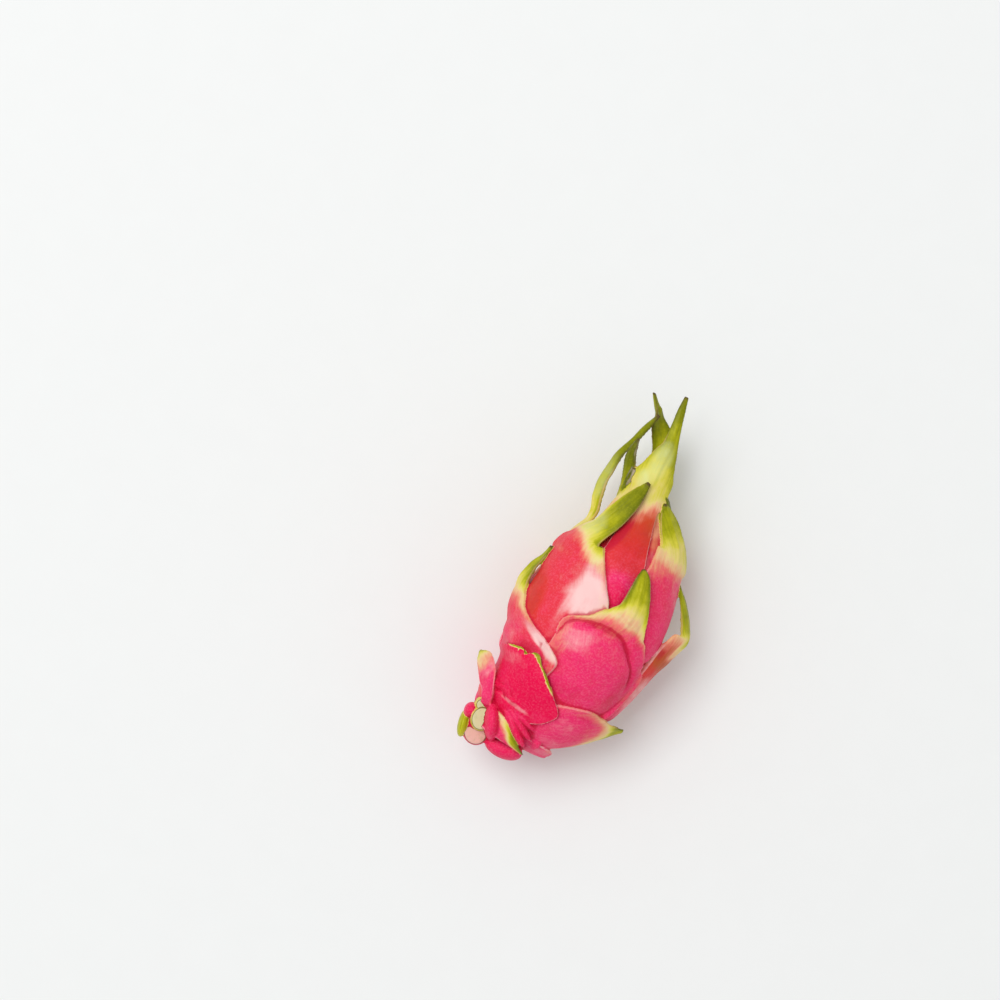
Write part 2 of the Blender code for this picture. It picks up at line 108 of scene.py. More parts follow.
# The front middle scale's dome, and the crease round it that makes its collar: sideways and
# along from its foot, how high the dome is and how wide, and how far out the crease is
COLLAR_PLACE, COLLAR_ROWS = (-4.5, 50.0), (52.0, 62.0)
DOME, DOME_WIDTH = 1.8, 18.0
COLLAR_REACH, COLLAR_WIDTH = 25.0, 1.6

# The crumpled foot of the front scale at the stem: how high, where along, and how slanted
CRUMPLE, CRUMPLE_ALONG, CRUMPLE_SLANT = 1.1, 17.5, 0.3

# How fine a skin the fruit is fused to, and the most triangles it may have then
FUSE_VOXEL = 0.5
MOST_TRIANGLES = 185000

# A crease is as deep as the skin lies under its own average, taken and blurred so many times
HOLLOW_REACH, HOLLOW_BLUR = 14, 2

# What is noted on each vertex of the peel, and how many numbers it is: how coral and how ripe,
# millimetres from the scale's rim, whether on its inner face, on cut flesh, its share to the
# tip, how pale with wax and painted sheen or, below 0, how dark with painted shade,
# and the place on the scale in millimetres
TRAITS = {"coral": 1, "ripe": 1, "rim": 1, "inner": 1, "flesh": 1, "tip": 1, "bloom": 1, "grain": 3}
NO_RIM = 9.0
GRAIN_APART = 20.0

# A scale is its foot's colour up to here, and pales and greens over these lengths beyond its own
FOOT_COLOUR = 10.0
PALING, GREENING = 9, 22

# Where a blade is this narrow its rim fades away, and where an edge's band of colour lies:
# how far from the rim, and from how far along the scale
NARROW = (4.0, 2.0)
BAND_RIM, BAND_FROM = (3.2, 2.4), (28.0, 31.0)

# A blotch fades out over these shares of its half widths, and down the flanks at these heights
BLOTCH_EDGE = (1.35, 0.45)
FLANK_FADE = (-9.0, 4.0)


class Scale(NamedTuple):
    """One scale of the peel. Its blade stands free past the row named by free.

    Each row is a place along its middle line, from foot to tip: along, round, half width,
    height of the middle off the bare fruit, and how much the far margin is tipped up. fold is
    how far the blade's margins bend down, for each millimetre of half width. lap is how much it
    lies over the others. Rows narrower than square, each way, turn to lie square to the middle
    line, and wide ones lie straight across.
    """
    name: str
    free: float
    rows: tuple
    fold: float = 0.2
    lap: float = LAP
    square: float = SQUARE_TO


class Colour(NamedTuple):
    """Where a scale turns colour, in millimetres from its foot, and how green its tip is.

    Its foot and its middle are from 0, hot pink, over 1, coral red, to 1.5, orange. It starts
    to pale, is yellow, and is lime at the next three. left and right are how far ahead of the
    middle each margin has turned, from this share of the way out. edge is how far a narrow band
    along the upper margin has turned.
    """
    foot: float
    middle: float
    pale: float
    yellow: float
    lime: float
    tip: float
    left: float = 0.3
    right: float = 0.3
    reach: float = 0.45
    edge: float = 0.0


class Patch(NamedTuple):
    """A soft blotch on a scale: the trait it adds to, its middle, half widths, turn, strength."""
    trait: str
    x: float
    y: float
    wide: float
    tall: float
    turn: float
    strength: float


class Lobe(NamedTuple):
    """A rounded lump at the stem: centre, radii, turn about Z, height of its cut, and ripeness."""
    name: str
    centre: tuple
    radii: tuple
    turn: float = 0.0
    cut: float = 1.0
    ripe: float = -1.0


# The scales seen from above, laid in this order: from the crown to the stem
SCALES = (
    Scale("crown_back", 1.5, (
        (128, -150, 6, -2.0, 0), (144, -172, 6, 4.0, 0), (155, -182, 4.6, 2.5, 0),
        (165, -165, 3.7, -2.0, 0), (171, -122, 3.8, -0.5, 0), (176, -97, 3.4, 3.0, 0),
        (182, -90, 1.2, 6.5, 0)), 0.3),
    Scale("crown_dark", 1.4, (
        (118, -60, 6, -3.0, 0), (128, -64, 4.5, 1.0, 0), (137, -72, 2.6, 4.0, -1),
        (143, -66, 2.8, 6.0, -1.5), (148, -60, 3.2, 7.5, -1.5), (154, -56, 2.2, 8.5, -1),
        (160, -52, 0.8, 8.0, 0)), 0.3),
    Scale("crown_dry", 1.4, (
        (124, -52, 4, -3.0, 0), (132, -62, 2.5, 1.5, 0), (137, -64, 1.8, 4.0, 0),
        (142, -55, 1.7, 5.5, 0), (146.5, -49, 1.3, 6.0, 0))),
    Scale("crown_left", 2.4, (
        (92, -95, 8, -3.0, 0), (101, -93, 10, 3.4, 0), (108, -92, 8.5, 3.6, 0), (115, -90, 5.5, 4.2, 0),
        (122, -90, 4.2, 6.6, -1), (130, -90, 3.8, 11.5, -2), (138, -90, 3.5, 13.8, -2),
        (148, -88, 3, 12.0, -1.5), (160, -85, 2.5, 6.0, -1), (173, -52, 1.0, 2.0, 0)), 0.3),
    Scale("crown_web", 2.5, (
        (104, -44, 7, -3.0, 0), (118, -50, 8, 2.5, 0), (128, -50, 6.5, 3.5, 0), (137, -42, 3.6, 3.8, 0),
        (146, -32, 1.0, 3.4, 0))),
    Scale("crown_right", 2.5, (
        (88, 34, 8, -3.0, 0), (105, 34, 12, 2.0, 0), (122, 30, 8, 2.5, 0), (134, 28, 1.2, 3.0, 0))),
    Scale("right_behind", 2.5, (
        (88, 112, 10, -3.0, 0), (105, 105, 13, 2.5, 0), (120, 88, 9, 3.5, 0), (130, 66, 6, 4.0, 0),
        (139, 38, 1.0, 4.4, 0))),
    Scale("crown_front", 5.5, (
        (76, -2, 8, -3.0, 0), (90, -2, 13, 2.0, 0), (102, -2.6, 11.5, 3.0, 0), (116, -3, 9.0, 4.5, 0),
        (128, -1.8, 8.0, 5.3, 0), (137, 1, 10.5, 5.3, 0), (144.5, 4.5, 12.2, 5.4, 0),
        (150, 7.5, 9.4, 4.7, 0), (156, 10.5, 6.8, 4.3, 0), (163, 14, 3.9, 3.8, 0),
        (172, 13, 2.7, 3.4, 0), (179, 12, 2.0, 3.0, 0), (185, 12.5, 1.1, 3.0, 0)), 0.08),
    Scale("right_side", 4.0, (
        (36, 84, 9, -3.0, 0), (47, 85, 13, 3.0, 0), (56, 84, 13.5, 3.0, 0), (66, 80, 14, 3.5, 0),
        (75, 81, 12.5, 6.3, 2), (82, 82, 10.5, 9.8, 2), (86, 83, 6.2, 11.3, 1.5),
        (90, 82, 4.2, 9.8, 1.5), (97, 79, 3.2, 7.0, 1), (105, 74, 1.0, 3.8, 0)), 0.25),
    Scale("right_upper", 5.5, (
        (56, 46, 8, -3.0, 0), (70, 40, 10, 2.5, 0), (80, 43, 14.5, 3.0, 0), (90, 45, 17, 3.2, 0),
        (100, 51, 17.5, 3.5, 0), (108, 53.5, 14.0, 4.6, 1), (116, 59, 11.3, 6.4, 2.5),
        (123, 54.5, 7.4, 6.2, 2.2), (130, 46, 4.6, 5.8, 1), (135, 37, 1.0, 5.4, 0)), 0.12),
    Scale("front_left", 5.6, (
        (44, -32, 12, -3.0, 0), (60, -35, 22, 3.0, 0), (80, -35, 25, 4.0, 0), (90, -44, 24, 4.2, 0),
        (98, -51, 21.5, 4.5, 0), (104, -54, 18, 5.0, 0), (109, -50, 12.5, 6.0, 0),
        (115, -42, 8.8, 7.4, 0), (123, -31.5, 7.0, 9.3, 0), (133, -17.5, 4.7, 10.0, 0),
        (142.5, -4, 1.0, 9.5, 0)), 0.2),
    Scale("front_middle", 5.2, (
        (33, 18, 16, -3.0, 0), (46, 20.5, 26, 3.0, 0), (56, 20.8, 27.1, 4.4, 0),
        (63, 19, 27.2, 4.8, 0), (70, 14.5, 23, 4.6, 0), (75.5, 17.3, 16.2, 4.4, 0),
        (80.5, 19.8, 11.4, 4.8, 0), (86, 20.8, 8.4, 5.5, 0), (95, 19, 5.6, 6.8, 0),
        (101, 17.5, 3.6, 7.2, 0), (105, 16, 1.0, 7.2, 0)), 0.15),
    Scale("left_side", 6.0, (
        (28, -50, 14, -3.0, 0), (42, -52, 26, 3.0, 0), (49, -54, 28, 3.4, 0), (54, -62, 25, 3.7, 0),
        (58, -72, 21, 4.0, 0), (63, -79, 16, 4.3, 0), (68, -82, 12.5, 4.8, 0), (76, -80.5, 8, 6.2, 0),
        (84, -79, 6, 6.0, 0), (91, -77, 3.6, 4.6, 0), (97, -75, 1.0, 3.6, 0)), 0.25),
    Scale("stem_small", 1.7, (
        (9, 58, 7, -3.0, 0), (16, 71, 8.2, 4.0, 0), (20.5, 85, 5.7, 6.0, 0), (22.8, 98, 1.0, 8.0, 0))),
    Scale("stem_right", 3.4, (
        (16, 40, 13, -3.0, 0), (24, 46, 18, 2.5, 0), (31.5, 57, 15.5, 3.5, 0), (36.5, 68, 9.5, 4.5, 0),
        (40, 78, 5.5, 6.5, 0), (43, 86, 3.2, 8.5, 0), (45.5, 91, 1.0, 11.0, 0)), 0.15, square=18.0),
    Scale("stem_fold", 2.6, (
        (2, -9, 3, -3.0, 0), (5.5, 3, 5.0, 2.5, 0), (7, 19, 5.4, 7.0, 0), (8.8, 35, 3.9, 9.0, 0),
        (10.8, 49, 2.4, 9.8, 0), (14, 70, 0.8, 9.6, 0))),
    Scale("stem_front", 5.4, (
        (9, -14, 8, -2.0, 0), (14.5, -15, 13, 4.4, 0), (20, -15.5, 16.5, 5.2, 0),
        (28, -16.5, 22.3, 4.6, 0), (33.5, -17.5, 24.6, 5.0, 0), (37.5, -21, 18.5, 5.6, 0),
        (40, -22.5, 13.8, 5.8, 0), (42, -23.3, 10.3, 5.8, 0), (43.4, -24.5, 6.8, 5.6, 0),
        (44.2, -27, 2.0, 5.4, 0)), 0.1, 2.0, square=0.0),
    Scale("stem_left", 1.2, (
        (5, -20, 2, -1.0, 0), (8.5, -29, 3.0, 6.0, 0), (11.5, -41, 4.0, 7.2, 1),
        (13.5, -52, 5.2, 8.5, 1), (14.5, -64, 4.8, 9.5, 1), (15, -79, 2.8, 10.5, 0),
        (15.5, -94, 0.6, 11.5, 0)), 0.2),
)

# How each of them turns colour
COLOURS = {
    "front_middle": Colour(0.0, 0.1, 46, 53, 61, 1.0, 0.5, 0.35),
    "front_left": Colour(0.6, 0.6, 60, 66, 78, 0.95, -0.35, 0.3),
    "crown_front": Colour(0.3, 1.35, 49, 59, 84, 0.85, 0.15, 0.1),
    "crown_back": Colour(0.9, 1.0, 6, 12, 25, 0.75),
    "crown_right": Colour(1.2, 1.5, 27, 40, 55, 0.2),
    "right_upper": Colour(-0.2, 0.3, 52, 60, 71, 0.8, 0.1, 0.2),
    "right_behind": Colour(0.3, 0.4, 17, 24, 32, 1.1),
    "right_side": Colour(0.2, 1.5, 45, 50, 54, 0.85, 0.1, 0.3),
    "left_side": Colour(0.3, 0.5, 43, 51, 59, 0.75, 0.6, 0.3),
    "stem_front": Colour(-0.5, -0.5, 60, 65, 70, 0.0, 0.0, 0.0, 0.45, 1.7),
    "stem_left": Colour(0.0, 0.1, 23, 28, 32, 0.5, -0.2, 0.4),
    "stem_fold": Colour(0.0, 0.1, 8, 11, 15, 0.9, 0.4, -1.3, 0.0),
    "stem_right": Colour(0.0, 0.1, 28, 33, 38, 0.7, 0.4, 0.3),
    "stem_small": Colour(0.0, 0.1, 30, 40, 50, 0.0),
    "crown_left": Colour(0.5, 0.7, 10, 20, 44, 0.85),
    "crown_dark": Colour(0.3, 0.5, 0, 8, 16, 1.15),
    "crown_dry": Colour(0.3, 0.5, 0, 2, 4, 1.7),
    "crown_web": Colour(0.6, 1.0, 18, 26, 40, 0.5),
}

# Blotches listed one by one, in the fruit's own millimetres
# Pale blotches above 0 paint pale wax together with painted sheen and highlights; below 0 they paint
# shade in creases, under lifted blades and on sides turned from the light
PATCHES = {
    # front_left: a painted sheen on its broad face, and painted shade along its lower left margin
    "front_left": (
        Patch("bloom", -3.5, 5, 11.5, 11.5, 0, 0.9), Patch("bloom", -8, 18, 5, 9, 15, 0.5),
        Patch("bloom", -15, 12, 8, 15, 0, 0.22), Patch("coral", -27, -2, 4, 14, 10, 0.5),
        Patch("bloom", -27, -2, 3, 12, 10, -0.4), Patch("ripe", -24.5, 27, 7, 6, 0, -0.5),
        Patch("ripe", -13, 26, 6, 5, 0, 0.3), Patch("bloom", -18, 38, 5, 9, -15, 0.5),
        Patch("bloom", -14, -8, 2.5, 10, 0, 0.35)),
    # left_side: a painted highlight on its face below front_left, and painted shade in thin creases
    "left_side": (
        Patch("bloom", -11, -22, 9, 3.5, -25, 0.9), Patch("bloom", -20, -18.5, 6, 2.2, -35, 0.6),
        Patch("bloom", -19, -25, 7, 2.4, 0, -0.6), Patch("bloom", -29, -20, 5, 14, 0, 0.25),
        Patch("bloom", -22, -9, 14, 1.6, -42, -0.8)),
    # front_middle: a painted sheen on its dome, painted shadow in the crease under its collar, and
    # painted shade on its right flank
    "front_middle": (
        Patch("bloom", -3, -10, 9, 8, 20, 0.34), Patch("bloom", 9, -13, 17, 12, 0, 0.12),
        Patch("bloom", 0, -4, 7, 1.7, 28, -0.8), Patch("bloom", 9, -1.8, 8, 1.6, 0, -0.8),
        Patch("bloom", 20, -5.5, 7, 1.8, -32, -0.6),
        Patch("bloom", 27, -24, 5, 15, -8, -0.45), Patch("bloom", 4, -33, 8, 5, 0, -0.3),
        Patch("ripe", 24, -3, 4, 6, 30, -0.25), Patch("bloom", 14, 5, 8, 3, 0, 0.5)),
    # crown_front: painted shadow of front_left's blade down its left side
    "crown_front": (
        Patch("coral", 4, 14, 9, 11, 0, -0.7), Patch("bloom", -4.5, 76, 5.5, 11, 0, 0.55),
        Patch("bloom", -8, 65, 3, 6, 20, 0.5), Patch("ripe", 4, 52, 3.5, 9, 0, -0.25),
        Patch("ripe", 4, 76, 3, 12, 10, 0.2), Patch("bloom", -7, 42, 3.6, 16, -12, -1.3),
        Patch("bloom", 1, 38, 9, 16, 0, -0.35)),
    "crown_left": (Patch("bloom", -24, 58, 3.5, 14, 0, 0.5),),
    # crown_right: painted shade where crown_front's edge overhangs it
    "crown_right": (
        Patch("bloom", 9.5, 49, 2.5, 6, 15, -1.3), Patch("bloom", 11.5, 33, 2.5, 8, 0, 0.5),
        Patch("ripe", 13, 48, 2, 5, 25, 0.6), Patch("coral", 11, 32, 4, 8, 0, -0.9)),
    "stem_fold": (Patch("ripe", -12, -67.5, 6, 4, -20, -0.8), Patch("bloom", -15, -59, 2.5, 3, 0, 0.8)),
    # right_upper: painted shade beside front_middle's hood
    "right_upper": (
        Patch("bloom", 31, 27, 4.5, 14, 25, 0.35), Patch("bloom", 22, 10, 6, 20, 20, -0.35),
        Patch("bloom", 17, 37, 5, 5, 0, 0.3)),
    "right_side": (
        Patch("bloom", 35.5, -24, 4, 14, -10, 0.5), Patch("coral", 39, 2, 7, 10, 0, 0.6),
        Patch("bloom", 37, 4, 2.5, 8, -10, -1.0), Patch("ripe", 43.5, 4, 1.8, 8, -25, 0.5)),
    # stem_front: painted highlights along its crumpled folds
    "stem_front": (
        Patch("bloom", -22, -33, 8, 3.5, 0, 0.3), Patch("bloom", -12, -45, 8, 6, 0, -0.25),
        Patch("bloom", -12, -51.5, 9, 1.2, -8, 0.5)),
    "stem_right": (
        Patch("bloom", 12, -50, 8, 5, 20, 0.25), Patch("bloom", 10, -60, 7, 4, 0, 0.25),
        Patch("bloom", 22, -43, 8, 1.6, 0, -0.4)),
    "stem_left": (
        Patch("bloom", -31, -42, 6, 6, 35, 0.35), Patch("ripe", -34, -41, 4, 6, 30, 0.35),
        Patch("bloom", -25, -47, 3, 7, 10, -0.3)),
    "stem_small": (Patch("bloom", 8, -66, 6, 2, 0, 0.3),),
}

# The scales it lies on follow each other in threes along the underside, pressed flat. A row is
# a share of their length, a share of their half width, and a height
UNDER_COUNT = 9
UNDER_START, UNDER_STEP, UNDER_TURN = 6.0, 13.0, 47.0
UNDER_LENGTH, UNDER_END = 56.0, 140.0
UNDER_WIDEST, UNDER_WIDTH = 20.0, 0.66
UNDER_CORAL = 120.0
UNDER_TURNING = (0.52, 0.62, 0.76)
UNDER_SHAPE = (
    (0.0, 0.45, -3.0), (0.16, 0.90, 2.0), (0.36, 1.0, 2.8), (0.56, 0.8, 2.8), (0.70, 0.42, 2.8),
    (0.84, 0.26, 3.2), (1.0, 0.05, 3.6))

LOBES = (
    Lobe("stem_core", (-23.5, -68.0, 0.0), (6.5, 8.0, 8.5)),
    Lobe("stem_stub", (-22.0, -64.8, 7.0), (5.0, 6.0, 12.5), 10.0, 0.6, 0.2),
    Lobe("stem_stub_high", (-24.6, -59.2, 7.0), (3.4, 3.2, 8.0), 0.0, 0.72, 0.2),
    Lobe("stem_middle", (-17.2, -63.3, 9.0), (4.0, 9.4, 13.0), 24.0),
    Lobe("stem_rib_low", (-21.0, -73.2, 3.0), (5.7, 5.0, 8.0), 0.0, 0.6),
    Lobe("stem_rib_left", (-28.1, -64.0, 6.0), (3.0, 3.6, 6.5)),
    Lobe("stem_rib_green", (-28.1, -71.2, 3.0), (2.5, 6.6, 7.0), 13.0, 1.0, 0.45),
    Lobe("stem_rib_high", (-27.0, -54.0, 3.0), (2.3, 5.0, 7.0), 25.0, 1.0, -0.6),
    Lobe("stem_flap_low", (-7.4, -60.8, 17.5), (10.4, 2.1, 6.0), -37.0),
    Lobe("stem_flap_high", (-7.2, -57.6, 18.0), (10.8, 2.0, 6.0), -30.0),
    Lobe("stem_flap_top", (-6.4, -55.2, 19.0), (9.0, 1.6, 5.5), -20.0),
    Lobe("stem_lip", (-6.6, -72.6, 4.0), (9.2, 5.0, 9.0), 4.0),
)
LOBE_SEGMENTS, LOBE_RINGS = 48, 32
LOBE_CORAL = -0.3
CUT_SOFTNESS = 0.12

# The dried flower and the pit it stands in, where along and how far left of the axis their
# base is, and their outlines: radius, and height above the base
FLOWER_PLACE, FLOWER_OFFSET = 120.0, 3.0
FLOWER_OUTLINE = (
    (0.0, 0.2), (4.4, 0.2), (5.0, 6.0), (6.2, 14.0), (6.7, 21.0), (6.1, 24.8), (3.4, 23.0), (0.0, 17.0))
PIT_OUTLINE = (
    (0.0, -0.2), (4.8, -0.2), (5.4, 6.0), (6.6, 14.0), (7.1, 21.0), (7.1, 27.0), (7.1, 34.0),
    (0.0, 34.0))
FLOWER_PLEATS, PLEAT_DEPTH = 8, 0.10
FLOWER_FOLDS, FOLD_DEPTH = 12, 0.07

# The peel's colours where it is pink, by how coral it is, and on its blades, by how ripe
PINK_RANGE = (-0.6, 1.6)
PINKS = (
    (-0.5, (0.80, 0.000, 0.065)), (0.0, (0.86, 0.026, 0.145)), (0.5, (0.78, 0.034, 0.064)),
    (1.0, (0.70, 0.036, 0.022)), (1.5, (0.54, 0.085, 0.012)))
RIPE_RANGE = (-0.5, 1.7)
RIPE = (
    (-0.45, (0.82, 0.24, 0.16)), (-0.15, (0.84, 0.52, 0.27)), (0.05, (0.80, 0.65, 0.22)),
    (0.28, (0.66, 0.60, 0.055)), (0.5, (0.42, 0.415, 0.006)), (0.75, (0.25, 0.265, 0.001)),
    (1.0, (0.165, 0.185, 0.001)), (1.25, (0.10, 0.108, 0.003)), (1.6, (0.44, 0.36, 0.27)))
# Deep pink for dark flecks, and the colour of painted shade in creases and under blades
DEEP_PINK_AND_SHADE = (0.55, 0.002, 0.035)
PINK_SPECKLE = (0.95, 0.22, 0.33)
# Pale pink of the wax, also the colour of painted sheen and highlights, and of pale rims
PALE_WAX_AND_SHEEN = (0.92, 0.60, 0.58)
PALE_LIME = (0.76, 0.80, 0.38)
LIME_SPECKLE = (0.70, 0.66, 0.04)
RIM = (0.74, 0.42, 0.20)
DRY_BROWN = (0.11, 0.075, 0.022)
CUT_PEEL = (0.80, 0.44, 0.38)
CUT_FLESH = (0.66, 0.60, 0.34)
CUT_THREADS = (0.42, 0.36, 0.16)
FLOWER_BROWNS = (
    (0.25, (0.075, 0.035, 0.018)), (0.48, (0.22, 0.115, 0.055)), (0.62, (0.42, 0.27, 0.14)),
    (0.8, (0.60, 0.45, 0.27)))

# How fine the peel's markings are, for each metre
CLOUDS, MOTTLES, GRIT, SPECKLE = 95.0, 230.0, 420.0, 1100.0

# The photo's view: straight down, turned, from this far above a point beside the fruit
CAMERA_TURN = 27.86
CAMERA_PLACE = (-0.0656, 0.0119, 1.12)
LENS, SENSOR = 85.0, 36.0

# The light, in metres as the photo shows it: to the right, up the picture, and above the floor
KEY_PLACE = (-1.09, 1.04, 3.25)
KEY_SIZE = 1.82
KEY_ENERGY = 64.2
SURROUND = 0.66
FLOOR_GREYS = ((0.825, 0.837, 0.830), (0.842, 0.854, 0.848))


def cubic_through(knots, values, at, turning=True):
    """A smooth curve through the values at the knots, read at some places.

    Where turning is off, it never swings past a value, so a width or a height can't dip.
    """
    knots = np.asarray(knots, float)
    values = np.asarray(values, float)
    slopes = np.gradient(values, knots, axis=0)
    if not turning:
        steps = np.diff(values, axis=0) / np.diff(knots)[:, None]
        before, after = steps[:-1], steps[1:]
        alike = before * after > 0
        total = np.where(alike, before + after, 1.0)
        slopes[1:-1] = np.where(alike, 2 * before * after / total, 0.0)
    at = np.clip(np.asarray(at, float), knots[0], knots[-1])
    left = np.clip(np.searchsorted(knots, at) - 1, 0, len(knots) - 2)
    width = (knots[left + 1] - knots[left])[..., None]
    t = ((at - knots[left]) / width[..., 0])[..., None]
    start, end = values[left], values[left + 1]
    lead, follow = slopes[left] * width, slopes[left + 1] * width
    return ((2 * t**3 - 3 * t**2 + 1) * start + (t**3 - 2 * t**2 + t) * lead
            + (3 * t**2 - 2 * t**3) * end + (t**3 - t**2) * follow)


def ease(start, end, x):
    """0 before start, 1 after end, and a smooth rise between."""
    t = np.clip((x - start) / (end - start), 0.0, 1.0)
    return t * t * (3 - 2 * t)


def bump(centre, width, x):
    """1 at the centre, falling smoothly to nothing a few widths away."""
    return np.exp(-((x - centre) / width) ** 2)


def axis_at(along):
    """The axis there: its centre, the directions to the side and up, and the bare radius."""
    knots = [row[0] for row in AXIS]
    values = [row[1:] for row in AXIS]
    here = cubic_through(knots, values, along)
    ahead = cubic_through(knots, values, along + 0.5) - cubic_through(knots, values, along - 0.5)
    forward = ahead[..., :3] / np.linalg.norm(ahead[..., :3], axis=-1, keepdims=True)
    side = np.cross(forward, (0.0, 0.0, 1.0))
    side /= np.linalg.norm(side, axis=-1, keepdims=True)
    return here[..., :3], side, np.cross(side, forward), here[..., 3]


def on_fruit(along, angle, height):
    """Points in millimetres at a height off the bare fruit."""
    centre, side, up, radius = axis_at(along)
    reach = (radius + height)[..., None]
    return centre + reach * (np.cos(angle)[..., None] * up + np.sin(angle)[..., None] * side)


def ripeness(colour, length, across):
    """How far a scale has turned there: -1 pink, -0.5 paling, 0 yellow, 0.5 lime, 1 green."""
    places = (colour.pale - PALING, colour.pale, colour.yellow, colour.lime, colour.lime + GREENING)
    ripe = np.interp(length, places, (-1.0, -0.5, 0.0, 0.5, max(0.5, colour.tip)))
    ahead = np.where(across < 0, colour.left, colour.right)
    return ripe + ahead * ease(colour.reach, 1.0, np.abs(across))


def blotch(patch, points):
    """How much of a patch is at each point, from 0 to its strength."""
    turn = math.radians(patch.turn)
    x, y = points[:, 0] - patch.x, points[:, 1] - patch.y
    wide = (x * math.cos(turn) + y * math.sin(turn)) / patch.wide
    tall = (y * math.cos(turn) - x * math.sin(turn)) / patch.tall
    return patch.strength * ease(*BLOTCH_EDGE, np.hypot(wide, tall)) * ease(*FLANK_FADE, points[:, 2])


def relief(scale, along, sideways, across, free):
    """The small forms of a scale in millimetres: ribs, its collar's crease, and crumpled feet."""
    phase = sum(ord(letter) for letter in scale.name)
    ribs = RIB * np.cos(sideways * 1.15 + 0.6 * np.sin(along * 0.13 + phase) + phase)
    ribs += FINE_RIB * np.cos(sideways * 2.3 + 0.9 * np.sin(along * 0.21 + 2 * phase))
    ribs *= 0.5 + 0.7 * free
    keel = KEEL * bump(0.0, 0.9, sideways) * free
    if scale.name == "front_middle":
        reach = np.hypot(sideways - COLLAR_PLACE[0], along - COLLAR_PLACE[1])
        dome = bump(0.0, DOME_WIDTH, reach) - bump(COLLAR_REACH, COLLAR_WIDTH, reach)
        return ribs + keel + DOME * dome * ease(*COLLAR_ROWS, along)
    if scale.name == "stem_front":
        line = along - CRUMPLE_ALONG - CRUMPLE_SLANT * sideways
        crumple = np.sin(line * 1.5 + 1.3 * np.sin(sideways * 0.7)) * (1 + 0.5 * np.cos(sideways * 1.3))
        return ribs + keel + CRUMPLE * crumple * bump(0.0, 2.4, line) * bump(-2.0, 10.0, sideways)
    return ribs + keel


class Layers:
    """How high what has been laid on the bare fruit reaches, by place along it and round it."""

    START, STEP, ROWS, ROUND = -10.0, 0.5, 340, 360

    def __init__(self):
        self.heights = np.zeros((self.ROWS, self.ROUND))

    def places(self, along, angle):
        """The row and the column of a place, with their fractions."""
        row = np.clip((along - self.START) / self.STEP, 0, len(self.heights) - 1.001)
        column = np.degrees(angle) % 360 * (self.ROUND / 360)
        return row, column

    def read(self, along, angle):
        """How high it is there, between the four places round it."""
        row, column = self.places(along, angle)
        r, c = row.astype(int), column.astype(int) % self.ROUND
        t, u = row - r, column - column.astype(int)
        after = (c + 1) % self.ROUND
        near = self.heights[r, c] * (1 - u) + self.heights[r, after] * u
        far = self.heights[r + 1, c] * (1 - u) + self.heights[r + 1, after] * u
        return near * (1 - t) + far * t

    def lay(self, along, angle, height):
        """Lay points there, spread a little so that they leave no holes, then softened."""
        row, column = self.places(along, angle)
        laid = np.zeros_like(self.heights)
        np.maximum.at(laid, (row.round().astype(int), column.round().astype(int) % self.ROUND), height)
        for axis in (0, 0, 1, 1):
            laid = np.maximum(laid, np.maximum(np.roll(laid, 1, axis), np.roll(laid, -1, axis)))
        for axis in (0, 0, 1, 1):
            laid = (laid * 2 + np.roll(laid, 1, axis) + np.roll(laid, -1, axis)) / 4
        self.heights = np.maximum(self.heights, laid)


def scale_points(scale, share, across, depth, layers):
    """Points of a scale: share of its length, -1 to 1 across it, 0 outside to 1 inside.

    It lies on the layers laid before it, and is added to them.
    """
    last = len(scale.rows) - 1
    knots = range(last + 1)
    position = share * last
    here = cubic_through(knots, scale.rows, position, False)
    along, around, half, height, tilt = np.moveaxis(here, -1, 0)
    step = (cubic_through(knots, scale.rows, position + 0.02, False)
            - cubic_through(knots, scale.rows, position - 0.02, False))
    radius = np.maximum(axis_at(along)[3] + height, LEAST_RADIUS)
    run_along = step[..., 0]
    run_around = radius * np.radians(step[..., 1]) * ease(scale.square + TURNING, scale.square, half)
    run = np.maximum(np.hypot(run_along, run_around), 1e-9)
    free = ease(scale.free - FREE_BEFORE, scale.free + FREE_AFTER, position)
    sideways = across * half
    along = along - sideways * run_around / run
    angle = np.radians(around) + sideways * run_along / run / radius
    bend = CUP * np.abs(across) ** CUP_POWER * (1 - free)
    bend += scale.fold * np.abs(across) ** FOLD_POWER * free
    outside = height - half * bend + tilt * across
    over = layers.read(along, angle) + scale.lap - FOOT_DIP * (1 - ease(*FOOT_ROWS, position))
    outside = (outside + over + np.sqrt((outside - over) ** 2 + LAP_SOFTNESS**2)) / 2
    outside = outside + relief(scale, along, sideways, across, free)
    lying = (position < scale.free - FREE_BEFORE) & (position > 0.5) & (depth < 0.5)
    layers.lay(along[lying], angle[lying], outside[lying])
    blade = BLADE + (BLADE_TIP - BLADE) * ease(scale.free, last, position)
    blade = blade * (1 - MARGIN_THINNING * across**2)
    inside = -FOOT_DEPTH + (outside - blade + FOOT_DEPTH) * free
    inside = np.minimum(inside, outside - LEAST_THICKNESS)
    return on_fruit(along, angle, outside + (inside - outside) * depth), sideways, half


def length_from_foot(scale, share):
    """How far along the scale's middle line a share of it is, in millimetres."""
    last = len(scale.rows) - 1
    position = np.linspace(0, last, 40 * last + 1)
    along, around, _, height, _ = cubic_through(range(last + 1), scale.rows, position, False).T
    radius = np.maximum(axis_at(along)[3] + height, LEAST_RADIUS)
    steps = np.hypot(np.diff(along), np.diff(np.radians(around)) * radius[1:])
    return np.interp(share * last, position, np.concatenate([[0.0], np.cumsum(steps)]))


